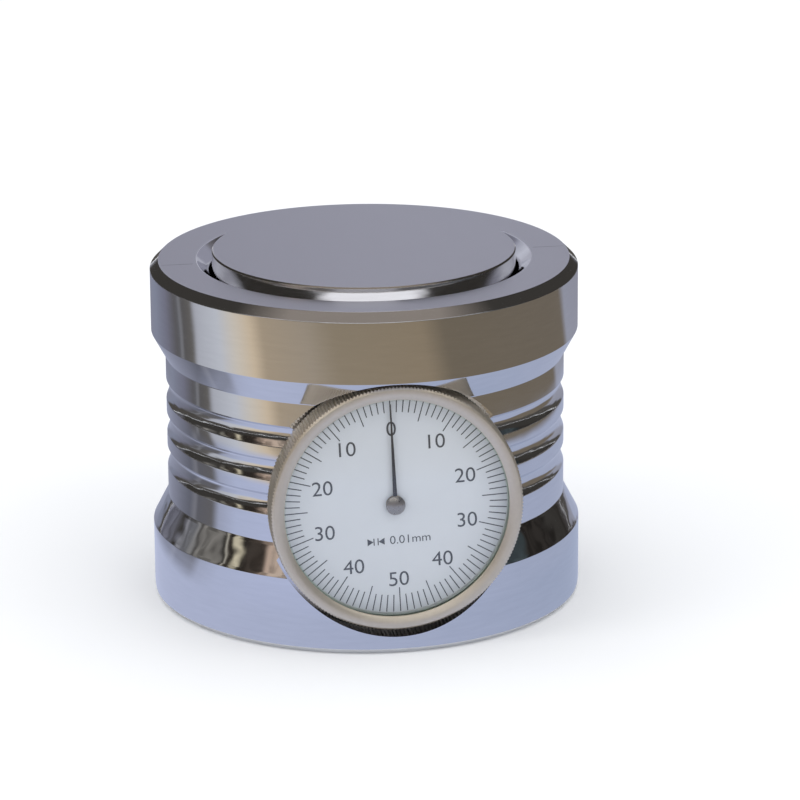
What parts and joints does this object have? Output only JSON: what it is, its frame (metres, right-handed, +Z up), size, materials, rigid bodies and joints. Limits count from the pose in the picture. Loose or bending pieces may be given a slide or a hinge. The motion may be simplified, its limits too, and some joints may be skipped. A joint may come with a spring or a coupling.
{
  "type": "dial tool setter",
  "caption": "Round tool height setter with a sprung ground anvil on top and a dial with a turning bezel set into the side of its grooved body.",
  "frame": {"origin": "on the body's turning axis, in the ground base face that the instrument stands on", "axes": "+Z up along the body's axis and the anvil's travel, -Y towards the dial's front, +X to the right of somebody who reads the dial"},
  "size_m": [0.0624, 0.0624, 0.0513],
  "materials": {
    "plated_steel": "polished",
    "ground_steel": "satin",
    "plain_steel": "satin",
    "spring_steel": "gloss",
    "nickel_silver": "satin",
    "brass": "satin",
    "bronze": "satin",
    "crystal": "gloss",
    "dial_white": "matte",
    "pointer_black": "satin"
  },
  "bodies": {
    "housing": {"body": "plated_steel", "guide_column": "plain_steel", "guide_bush": "bronze", "column_screws": "plain_steel", "base_plug": "plain_steel", "main_spring": "spring_steel", "rod_bush": "bronze", "dial_case": "nickel_silver", "case_screws": "plain_steel", "bezel_spring": "spring_steel", "back_plate": "brass", "front_plate": "brass", "pillars": "brass", "movement_screws": "plain_steel", "hairspring": "spring_steel", "hairspring_stud": "brass"},
    "plunger": {"anvil": "ground_steel", "anvil_stem": "ground_steel", "stop_washer": "plain_steel", "stem_nut": "plain_steel", "rack_rod": "plain_steel"},
    "dial_bezel": {"bezel": "nickel_silver", "crystal": "crystal", "crystal_ring": "nickel_silver", "dial_face": "dial_white"},
    "rack_gear": {"rack_arbor": "plain_steel", "main_wheel": "brass"},
    "pointer_gear": {"centre_arbor": "plain_steel", "pointer": "pointer_black", "pointer_cap": "nickel_silver"},
    "take_up_gear": {"take_up_arbor": "plain_steel", "take_up_wheel": "brass", "hairspring_collet": "brass"}
  },
  "joints": [
    {"name": "anvil_press", "type": "slide", "parent": "housing", "child": "plunger", "axis": [0, 0, -1], "range_m": [0, 0.0025], "stiffness_N_per_m": 400, "springref_m": -0.008, "deforming": ["main_spring"]},
    {"name": "bezel_turn", "type": "hinge", "parent": "housing", "child": "dial_bezel", "pos_m": [0, -0.028, 0.02115], "axis": [0, -1, 0], "continuous": true},
    {"name": "rack_gear_turn", "type": "hinge", "parent": "housing", "child": "rack_gear", "pos_m": [-0.00506, -0.021, 0.01609], "axis": [0, -1, 0], "range_deg": [-2, 92]},
    {"name": "pointer_turn", "type": "hinge", "parent": "housing", "child": "pointer_gear", "pos_m": [0, -0.028, 0.02115], "axis": [0, 1, 0], "range_deg": [-10, 910]},
    {"name": "take_up_turn", "type": "hinge", "parent": "housing", "child": "take_up_gear", "pos_m": [0.00185, -0.021, 0.02806], "axis": [0, -1, 0], "range_deg": [-2, 92], "deforming": ["hairspring"]}
  ],
  "couplings": [
    {"joint": "rack_gear_turn", "follows": "anvil_press", "rad_per_m": 628.32},
    {"joint": "pointer_turn", "follows": "anvil_press", "rad_per_m": 6283.2},
    {"joint": "take_up_turn", "follows": "anvil_press", "rad_per_m": 628.32}
  ]
}
